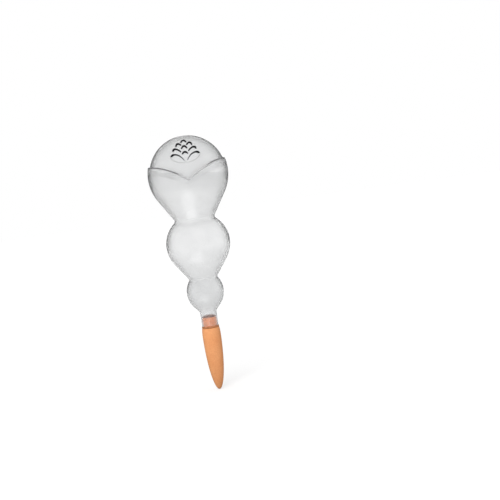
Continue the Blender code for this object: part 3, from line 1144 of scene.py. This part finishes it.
@dataclass
class Lid:
    """The clear dome inside the rim, with the fan of petal louvres in front."""

    seam: Seam
    outer: float = 0.0381
    inner: float = 0.0366
    still_above: float = math.radians(66.0)
    row: float = math.radians(1.25)
    segments: int = 176
    edge_rounding: float = 0.00030
    fan_root: float = math.radians(16.75)
    fan_middle: float = math.radians(42.0)
    fan_reach: float = math.radians(29.0)
    fan_cuts: int = 3
    scoop_depth: float = 0.0007
    scoop_length: float = 0.75
    scoop_runout: float = 1.15
    scoop_edge: float = 0.00060
    scoop_margin: float = 0.00045
    pocket: Slot = Slot(0.0, 1.0, 1.0, 0.00025)
    slit: Slot = Slot(0.70, 0.94, 0.60, -0.0020)
    slot_steps: int = 28
    slot_reach: float = 0.0020
    line_root: float = 0.00015
    line_height: float = 0.00005
    petals: list[Petal] = field(default_factory=fan_petals)

    @property
    def centre(self) -> Vector:
        """The dome's centre."""
        return Vector((0.0, 0.0, self.seam.centre))

    @property
    def fan_axes(self) -> tuple[Vector, Vector, Vector]:
        """The directions of the fan's root, of up the fan and of across it."""
        sine, cosine = math.sin(self.fan_root), math.cos(self.fan_root)
        return Vector((0.0, -cosine, sine)), Vector((0.0, sine, cosine)), Vector((1.0, 0.0, 0.0))

    def profile(self) -> list[ProfilePoint]:
        """Lays out the section, from the crown down the outside and back up the inside.

        Returns:
            The points, with both ends on the axis.
        """
        top, edge = math.pi / 2, self.seam.lid_edge
        rows = math.ceil((top - edge) / self.row)
        latitudes = [top + (edge - top) * row / rows for row in range(rows + 1)]
        outside = [self.seam.on_ball(self.outer, latitude) for latitude in latitudes]
        inside = [self.seam.on_ball(self.inner, latitude) for latitude in reversed(latitudes)]
        return [(0.0, outside[0][1]), *outside[1:], *inside[:-1], (0.0, inside[-1][1])]

    def on_dome(self, place: FlatPlace, radius: float) -> Vector:
        """Lays a flat place of the fan on the dome.

        Args:
            place: A place across and up the fan.
            radius: The distance from the dome's centre.

        Returns:
            The point in space.
        """
        root, upwards, sideways = self.fan_axes
        angle = math.hypot(*place) / self.outer
        bearing = math.atan2(place[0], place[1])
        heading = upwards * math.cos(bearing) + sideways * math.sin(bearing)
        return self.centre + (root * math.cos(angle) + heading * math.sin(angle)) * radius

    def flattened(self, direction: Vector) -> FlatPlace:
        """Finds a flat place on the fan by its direction.

        Args:
            direction: The direction from the dome's centre, one metre long.

        Returns:
            The place across and up the fan.
        """
        root, upwards, sideways = self.fan_axes
        angle = math.acos(max(-1.0, min(1.0, direction.dot(root))))
        bearing = math.atan2(direction.dot(sideways), direction.dot(upwards))
        return (angle * self.outer * math.sin(bearing), angle * self.outer * math.cos(bearing))

    def near_fan(self, point: Vector) -> bool:
        """Tells whether a point lies over the fan."""
        middle = Vector((0.0, -math.cos(self.fan_middle), math.sin(self.fan_middle)))
        return (point - self.centre).angle(middle) < self.fan_reach

    def under_fan(self, dome: bpy.types.Object) -> Iterator[tuple[bpy.types.MeshVertex, Vector, bool]]:
        """Goes through the dome's points under the fan.

        Args:
            dome: The lid's object.

        Yields:
            The point, its direction from the dome's centre, and whether it lies outside.
        """
        for vertex in dome.data.vertices:
            if self.near_fan(vertex.co):
                out = vertex.co - self.centre
                yield vertex, out.normalized(), 2 * out.length > self.outer + self.inner

    def refine_fan(self, dome: bpy.types.Object) -> None:
        """Cuts the faces under the fan finer and lays the new points on the dome.

        Args:
            dome: The lid's object.
        """
        pick(dome)
        bpy.ops.object.mode_set(mode="EDIT")
        select_faces(dome, lambda centre, _normal: self.near_fan(centre))
        bpy.ops.mesh.subdivide(number_cuts=self.fan_cuts, smoothness=0.0)
        bpy.ops.object.mode_set(mode="OBJECT")
        for vertex, direction, outside in self.under_fan(dome):
            vertex.co = self.centre + direction * (self.outer if outside else self.inner)

    def scoop_at(self, place: FlatPlace) -> float:
        """Works out how deep the petals are hollowed.

        Args:
            place: A place across and up the fan.

        Returns:
            The depth below the dome's surface.
        """
        deepest = 0.0
        for petal in self.petals:
            back, edge = petal.within(place)
            share = back / (self.scoop_length * petal.length)
            floor = 1 - self.scoop_runout * share
            near = min((min(edge, back) - self.scoop_margin) / self.scoop_edge, 1.0)
            if near <= 0.0 or floor <= 0.0:
                continue
            deepest = max(deepest, self.scoop_depth * floor * near * near * (3 - 2 * near))
        return deepest

    def hollow_petals(self, dome: bpy.types.Object) -> None:
        """Presses the petals into the dome's outside.

        Args:
            dome: The lid's object.
        """
        for vertex, direction, outside in self.under_fan(dome):
            if outside:
                depth = self.scoop_at(self.flattened(direction))
                vertex.co = self.centre + direction * (self.outer - depth)

    def strip(self, place: StripPlace, low: float, high: float, finish: bpy.types.Material) -> bpy.types.Object:
        """Models a long narrow solid that follows the dome.

        Args:
            place: Told -1 to 1 along the strip and -1 or 1 across it, gives the place on the flat fan.
            low: The radius of its floor.
            high: The radius of its top.
            finish: The finish that it takes.

        Returns:
            The solid.
        """
        deselect()
        bpy.ops.mesh.primitive_grid_add(x_subdivisions=self.slot_steps, y_subdivisions=1, size=2.0)
        solid = named_new("strip")
        solid.data.materials.append(finish)
        for vertex in solid.data.vertices:
            vertex.co = self.on_dome(place(vertex.co.x, vertex.co.y), low)
        bpy.ops.object.mode_set(mode="EDIT")
        bpy.ops.mesh.select_all(action="SELECT")
        bpy.ops.mesh.extrude_region_move(TRANSFORM_OT_translate={"value": (0.0, 0.0, 0.0)})
        bpy.ops.transform.resize(value=(high / low,) * 3, center_override=self.centre)
        leave_closed()
        return solid

    def add_lines(self, dome: bpy.types.Object, finish: bpy.types.Material) -> None:
        """Raises the fine lines that close the lowest petals' outlines behind their slots.

        Args:
            dome: The lid's object.
            finish: The lines' finish, dark grey painted shade.
        """
        low, high = self.outer - self.line_root, self.outer + self.line_height
        sides = [partial(petal.line, side) for petal in self.petals if petal.lined for side in (-1, 1)]
        joined([dome, *(self.strip(side, low, high, finish) for side in sides)])

    def cut_slots(self, dome: bpy.types.Object, slot: Slot, finish: bpy.types.Material) -> None:
        """Cuts one crescent under every petal's tip.

        Args:
            dome: The lid's object.
            slot: The crescents' sizes.
            finish: The finish that their walls take, near-black painted shade.
        """
        low, high = self.inner + slot.floor, self.outer + self.slot_reach
        tool = joined([self.strip(partial(slot.place, petal), low, high, finish) for petal in self.petals])
        pick(dome)
        slots = dome.modifiers.new("Louvres", "BOOLEAN")
        slots.operation = "DIFFERENCE"
        slots.solver = "EXACT"
        slots.object = tool
        slots.material_mode = "TRANSFER"
        bpy.ops.object.modifier_apply(modifier=slots.name)
        bpy.data.objects.remove(tool, do_unlink=True)

    def is_seat(self, centre: Vector) -> bool:
        """Tells whether a face of the dome, before its edge is scalloped, lies on its lower edge."""
        latitude = math.atan2(centre.z - self.seam.centre, math.hypot(centre.x, centre.y))
        return latitude < self.seam.lid_edge + self.edge_rounding / self.outer

    def build(self, finishes: Sequence[bpy.types.Material]) -> bpy.types.Object:
        """Models the lid.

        Args:
            finishes: The finishes of the dome, of the louvres' walls with their painted shade, of the dome's lower
                edge and of the lines, which are painted shade too.

        Returns:
            The finished object.
        """
        dome = turned_piece("globe_lid", self.profile(), self.segments)
        for finish in finishes:
            dome.data.materials.append(finish)
        round_edges(dome, self.edge_rounding, segments=2, angle=50.0)
        for face in dome.data.polygons:
            face.material_index = 2 if self.is_seat(face.center) else 0
        self.seam.slide(dome, self.still_above, self.seam.lid_edge)
        self.refine_fan(dome)
        self.hollow_petals(dome)
        for slot in (self.pocket, self.slit):
            self.cut_slots(dome, slot, finishes[1])
        self.add_lines(dome, finishes[3])
        smooth(dome, 40.0)
        return dome


@dataclass
class ClaySpike:
    """The hollow terracotta spike: a bored neck above a flat shoulder, and a long tapered body below."""

    neck_radius: float = 0.0069
    neck_height: float = 0.0115
    neck_rounding: float = 0.0008
    neck_foot: float = 0.0004
    shoulder_radius: float = 0.0087
    shoulder_rounding: float = 0.0005
    belly_radius: float = 0.0093
    belly_depth: float = 0.0080
    depth: float = 0.0635
    bore_radius: float = 0.0047
    wall: float = 0.0028
    bore_end_radius: float = 0.0010
    samples: int = 96
    rounding_steps: int = 6
    segments: int = 96

    def radius_at(self, depth: float) -> float:
        """Works out the spike's outer radius.

        Args:
            depth: The distance below the shoulder.

        Returns:
            The radius of the slight belly, and below it of half an oval.
        """
        if depth < self.belly_depth:
            rest = 1 - depth / self.belly_depth
            return self.belly_radius - (self.belly_radius - self.shoulder_radius) * rest**2
        share = (depth - self.belly_depth) / (self.depth - self.belly_depth)
        return self.belly_radius * math.sqrt(max(1 - share**2, 0.0))

    def profile(self) -> list[ProfilePoint]:
        """Lays out the section, from the bore's end up the bore, over the neck and down the outside.

        Returns:
            The points, with both ends on the axis.
        """
        depths = [self.depth * math.sin(math.pi / 2 * step / self.samples) for step in range(1, self.samples + 1)]
        bore = [(min(self.bore_radius, self.radius_at(depth) - self.wall), -depth) for depth in depths]
        bore = [point for point in bore if point[0] > self.bore_end_radius][::-1]
        top, steps = self.neck_height - self.neck_rounding, self.rounding_steps
        neck = [
            *arc((self.bore_radius + self.neck_rounding, top), self.neck_rounding, 180, 90, steps),
            *arc((self.neck_radius - self.neck_rounding, top), self.neck_rounding, 90, 0, steps),
            (self.neck_radius, self.neck_foot),
            (self.neck_radius, 0.0),
        ]
        edge_centre = (self.shoulder_radius - self.shoulder_rounding, -self.shoulder_rounding)
        edge = arc(edge_centre, self.shoulder_rounding, 90, 0, steps)
        outside = [(self.radius_at(depth), -depth) for depth in depths if depth > 2 * self.shoulder_rounding]
        outside[-1] = (0.0, -self.depth)
        return [(0.0, bore[0][1]), *bore, *neck, *edge, *outside]

    def build(self, dry: bpy.types.Material, damp: bpy.types.Material) -> bpy.types.Object:
        """Models the spike.

        Args:
            dry: The finish of the outside.
            damp: The finish of the bore and of the mouth's rounded edge.

        Returns:
            The finished object.
        """
        spike = turned_piece("globe_spike", self.profile(), self.segments)
        for finish in (dry, damp):
            spike.data.materials.append(finish)
        damp_above = self.neck_height - self.neck_rounding
        for face in spike.data.polygons:
            outwards = face.center.x * face.normal.x + face.center.y * face.normal.y
            near_bore = math.hypot(face.center.x, face.center.y) < self.bore_radius + self.neck_rounding
            face.material_index = int(face.center.z > damp_above or (near_bore and outwards < 0.0))
        smooth(spike, 45.0)
        return spike


@dataclass
class SealRing:
    """The rubber washer between the reservoir's collar and the spike's shoulder."""

    inner: float = 0.0072
    outer: float = 0.0087
    thickness: float = 0.0013
    seat_gap: float = 0.0003
    rounding: float = 0.0004
    segments: int = 96
    end_facing: float = 0.9

    def build(self) -> bpy.types.Object:
        """Models the ring from a disc whose ends are inset and bridged, and rounds its edges.

        Returns:
            The finished object.
        """
        deselect()
        bpy.ops.mesh.primitive_cylinder_add(
            vertices=self.segments,
            radius=self.outer,
            depth=self.thickness,
            location=(0.0, 0.0, self.seat_gap + self.thickness / 2),
        )
        ring = named_new("globe_seal")
        bpy.ops.object.transform_apply(location=True, rotation=True, scale=True)
        bpy.ops.object.mode_set(mode="EDIT")
        select_faces(ring, lambda _centre, normal: abs(normal.z) > self.end_facing)
        bpy.ops.mesh.inset(thickness=self.outer - self.inner, depth=0.0)
        bpy.ops.mesh.bridge_edge_loops()
        leave_closed()
        round_edges(ring, self.rounding, segments=4, angle=40.0)
        smooth(ring, 45.0)
        return ring


# The studio


@dataclass
class SoftLamp:
    """A flat soft lamp, which shows in reflections or only lights."""

    name: str
    place: Place
    width: float
    height: float
    power: float
    mirrored: bool
    flat: bool = False

    def build(self, aim: Vector) -> None:
        """Sets the lamp up.

        Args:
            aim: The point that the lamp faces.
        """
        data = bpy.data.lights.new(self.name, "AREA")
        data.shape = "RECTANGLE"
        data.size, data.size_y = self.width, self.height
        data.energy = self.power
        lamp = bpy.data.objects.new(self.name, data)
        bpy.context.scene.collection.objects.link(lamp)
        lamp.visible_camera = lamp.visible_transmission = False
        lamp.visible_glossy = self.mirrored
        lamp.location = self.place
        facing = Vector((0.0, 0.0, 1.0)) if self.flat else aim - Vector(self.place)
        lamp.rotation_euler = facing.to_track_quat("-Z", "Y").to_euler()


@dataclass
class EdgeCard:
    """A dark card behind the globe, at one side, which only shows as the dark line along a clear edge."""

    name: str
    middle: Place
    width: float
    height: float
    colour: Colour = (0.10, 0.10, 0.10)

    def build(self) -> None:
        """Stands the card up, for mirrored rays alone."""
        deselect()
        bpy.ops.mesh.primitive_plane_add(size=1.0, location=self.middle, rotation=(math.pi / 2, 0.0, 0.0))
        card = named_new(self.name)
        card.scale = (self.width, self.height, 1.0)
        bpy.ops.object.transform_apply(location=False, rotation=False, scale=True)
        material = bpy.data.materials.new(self.name + "_felt")
        sketch = emptied(material)
        felt = sketch.add("BsdfDiffuse", Color=self.colour)
        sketch.add("OutputMaterial", Surface=felt.outputs[0])
        card.data.materials.append(material)
        card.visible_camera = card.visible_transmission = card.visible_diffuse = card.visible_shadow = False


@dataclass
class Studio:
    """The pale floor, the white surround, the soft lamps, the dark edge cards and the camera."""

    floor_height: float = -0.0640
    floor_radius: float = 4.0
    near_glow: float = 0.607
    far_glow: float = 0.80
    glow_span: float = 0.90
    floor_colour: Colour = (0.48, 0.48, 0.48)
    room_light: float = 0.50
    aim: Place = (0.0, 0.0, 0.110)
    eye: Place = (0.0, -1.10, 0.165)
    centre_of_view: Place = (0.0503, 0.0, 0.0713)
    roll: float = math.radians(8.18)
    lens: float = 79.4
    lamps: tuple[SoftLamp, ...] = (
        SoftLamp("key_lamp", (-0.30, -1.05, 0.70), 0.60, 0.60, 9.5, False),
        SoftLamp("left_panel", (-1.00, -0.25, 0.35), 0.70, 1.00, 1.6, True),
        SoftLamp("right_panel", (1.00, -0.25, 0.35), 0.70, 1.00, 1.8, True),
        SoftLamp("low_strip", (-0.040, -0.180, -0.062), 0.14, 0.20, 0.163, True, flat=True),
    )
    cards: tuple[EdgeCard, ...] = (
        EdgeCard("left_card", (-0.625, 0.90, 0.26), 1.15, 0.64),
        EdgeCard("right_card", (0.625, 0.90, 0.26), 1.15, 0.64),
    )

    @staticmethod
    def seen(sketch: Sketch) -> bpy.types.NodeSocket:
        """Finds the rays that show the background: straight, through the plastic or mirrored.

        Args:
            sketch: The nodes that use it.

        Returns:
            1 for those rays and 0 for the others.
        """
        path = sketch.add("LightPath").outputs
        straight = sketch.maths("MAXIMUM", path["Is Camera Ray"], path["Is Transmission Ray"])
        return sketch.maths("MAXIMUM", straight, path["Is Glossy Ray"])

    def surround(self) -> None:
        """Sets up the world: white where it is seen, and an even pale light everywhere else."""
        world = bpy.context.scene.world = bpy.data.worlds.new("white_surround")
        sketch = emptied(world)
        strength = sketch.maths("MAXIMUM", self.seen(sketch), self.room_light)
        white = sketch.add("Background", Color=(1.0, 1.0, 1.0), Strength=strength)
        sketch.add("OutputWorld", Surface=white.outputs[0])

    def floor(self) -> None:
        """Lays the pale floor, which is seen as white and keeps the object's shadow.

        The lamps light it less further off, so its own glow rises with the distance and it stays an even white.
        """
        deselect()
        bpy.ops.mesh.primitive_circle_add(
            vertices=96, radius=self.floor_radius, fill_type="NGON", location=(0.0, 0.0, self.floor_height)
        )
        floor = named_new("floor")
        material = bpy.data.materials.new("pale_floor")
        sketch = emptied(material)
        matt = sketch.add("BsdfDiffuse", Color=self.floor_colour)
        place = sketch.add("TexCoord").outputs["Object"]
        away = sketch.add("VectorMath", p_operation="LENGTH", i0=place).outputs["Value"]
        span = {"i1": 0.0, "i2": self.glow_span, "i3": self.near_glow, "i4": self.far_glow}
        level = sketch.add("MapRange", i0=away, **span).outputs[0]
        strength = sketch.maths("MULTIPLY", self.seen(sketch), level)
        glow = sketch.add("Emission", Color=(1.0, 1.0, 1.0), Strength=strength)
        both = sketch.add("AddShader", i0=matt.outputs[0], i1=glow.outputs[0])
        sketch.add("OutputMaterial", Surface=both.outputs[0])
        floor.data.materials.append(material)

    def camera(self) -> None:
        """Places the camera straight in front of the fan, turned so that the globe stands at its slant."""
        data = bpy.data.cameras.new("camera")
        data.lens = self.lens
        camera = bpy.data.objects.new("camera", data)
        bpy.context.scene.collection.objects.link(camera)
        eye = Vector(self.eye)
        back = (eye - Vector(self.centre_of_view)).normalized()
        level = Vector((0.0, 0.0, 1.0)).cross(back).normalized()
        upright = back.cross(level)
        right = level * math.cos(self.roll) - upright * math.sin(self.roll)
        up = level * math.sin(self.roll) + upright * math.cos(self.roll)
        turn = Matrix((right, up, back)).transposed()
        camera.matrix_world = Matrix.Translation(eye) @ turn.to_4x4()
        bpy.context.scene.camera = camera

    def build(self) -> None:
        """Sets up everything round the object."""
        self.surround()
        self.floor()
        for lamp in self.lamps:
            lamp.build(Vector(self.aim))
        for card in self.cards:
            card.build()
        self.camera()
        bpy.context.scene.view_settings.view_transform = "Standard"


def attach(piece: bpy.types.Object, body: str, node: str) -> None:
    """Hangs a finished piece on the frame in place of its plain node.

    Args:
        piece: The finished piece.
        body: The moving body that it rides on.
        node: The plain node that it stands for.
    """
    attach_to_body(piece, body)
    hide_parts(node)
    LOG.info("%s: %d faces, on %s", piece.name, len(piece.data.polygons), body)


def main() -> None:
    """Builds the studio and the four pieces, and reports each of them."""
    logging.basicConfig(level=logging.INFO, format="%(name)s: %(message)s")
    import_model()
    Studio().build()

    effects, seam = Effects(), Seam()
    spike = ClaySpike().build(FIRED_CLAY.material(effects), DAMP_CLAY.material(effects))
    attach(spike, "spike", "clay_spike")

    ring = SealRing().build()
    # The seal's colour is rubber and painted shade of the crevice at the shoulder
    ring.data.materials.append(SEAL_RUBBER_AND_SHADE.material(effects))
    attach(ring, "spike", "seal_ring")

    seat = GROUND_SEAT.material(effects)
    shell = Reservoir(seam).build([SHELL_PLASTIC.material(effects), RIM_EDGE_SHADE.material(effects), seat])
    attach(shell, "reservoir", "reservoir")

    # Painted shade: the louvres' near-black walls and the petals' dark grey lines
    louvre_shade, line = LOUVRE_SHADE.material(effects), PETAL_SHADE_LINE.material(effects)
    dome = Lid(seam).build([DOME_PLASTIC.material(effects), louvre_shade, seat, line])
    attach(dome, "lid", "lid")


if __name__ == "__main__":
    main()
